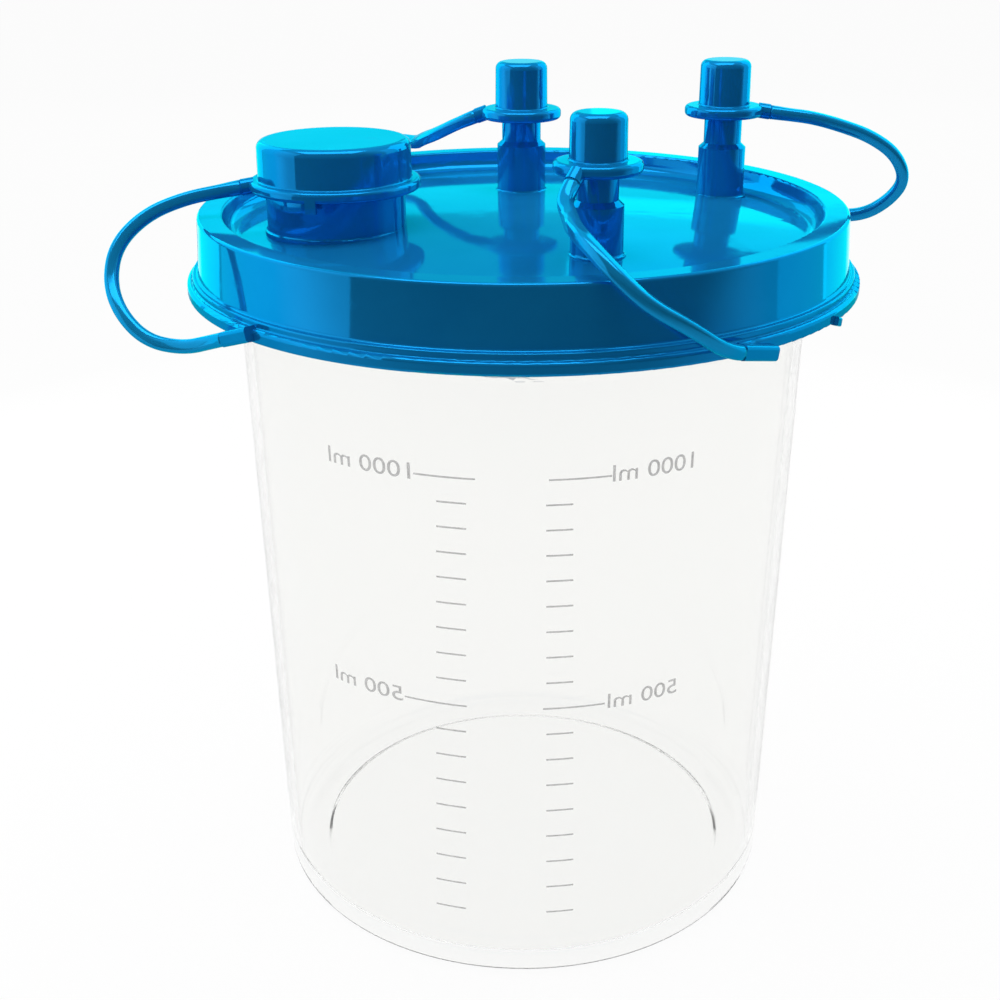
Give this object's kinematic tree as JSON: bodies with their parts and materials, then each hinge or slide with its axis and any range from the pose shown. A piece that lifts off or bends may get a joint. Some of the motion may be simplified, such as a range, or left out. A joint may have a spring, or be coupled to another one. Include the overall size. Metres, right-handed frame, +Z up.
{
  "type": "suction canister",
  "caption": "Clear tapered collection jar with a push-fit lid: stepped tube ports and a pour spout, each with a push-on cap on a moulded tether, and a float shut-off valve.",
  "frame": {"origin": "centre of the jar's base, on the plane of its foot ring", "axes": "+Z up along the jar's axis; -Y towards the user, with the patient port in front; +X to the user's right"},
  "size_m": [0.1565, 0.1311, 0.1681],
  "materials": {
    "clear_plastic": "clear, glossy, slightly milky",
    "blue_plastic": "glossy, moulded",
    "seal_rubber": "soft, matt, translucent white",
    "white_plastic": "satin, moulded"
  },
  "bodies": {
    "jar": {"jar": "clear_plastic"},
    "lid": {"lid": "blue_plastic", "lid_seal": "seal_rubber", "float_cage": "white_plastic", "valve_seat": "seal_rubber", "vacuum_cap_tether": "blue_plastic", "patient_cap_tether": "blue_plastic", "tandem_cap_tether": "blue_plastic", "pour_cap_tether": "blue_plastic"},
    "pour_cap": {"pour_spout_cap": "blue_plastic"},
    "vacuum_cap": {"vacuum_port_cap": "blue_plastic"},
    "patient_cap": {"patient_port_cap": "blue_plastic"},
    "tandem_cap": {"tandem_port_cap": "blue_plastic"},
    "float": {"shutoff_float": "white_plastic"}
  },
  "joints": [
    {"name": "lid_lift", "type": "slide", "parent": "jar", "child": "lid", "axis": [0, 0, 1], "range_m": [0, 0.04]},
    {"name": "pour_cap_pull", "type": "slide", "parent": "lid", "child": "pour_cap", "axis": [0, 0, 1], "range_m": [0, 0.014], "deforming": ["pour_cap_tether"]},
    {"name": "vacuum_cap_pull", "type": "slide", "parent": "lid", "child": "vacuum_cap", "axis": [0, 0, 1], "range_m": [0, 0.014], "deforming": ["vacuum_cap_tether"]},
    {"name": "patient_cap_pull", "type": "slide", "parent": "lid", "child": "patient_cap", "axis": [0, 0, 1], "range_m": [0, 0.014], "deforming": ["patient_cap_tether"]},
    {"name": "tandem_cap_pull", "type": "slide", "parent": "lid", "child": "tandem_cap", "axis": [0, 0, 1], "range_m": [0, 0.014], "deforming": ["tandem_cap_tether"]},
    {"name": "float_rise", "type": "slide", "parent": "lid", "child": "float", "axis": [0, 0, 1], "range_m": [0, 0.01345]}
  ]
}
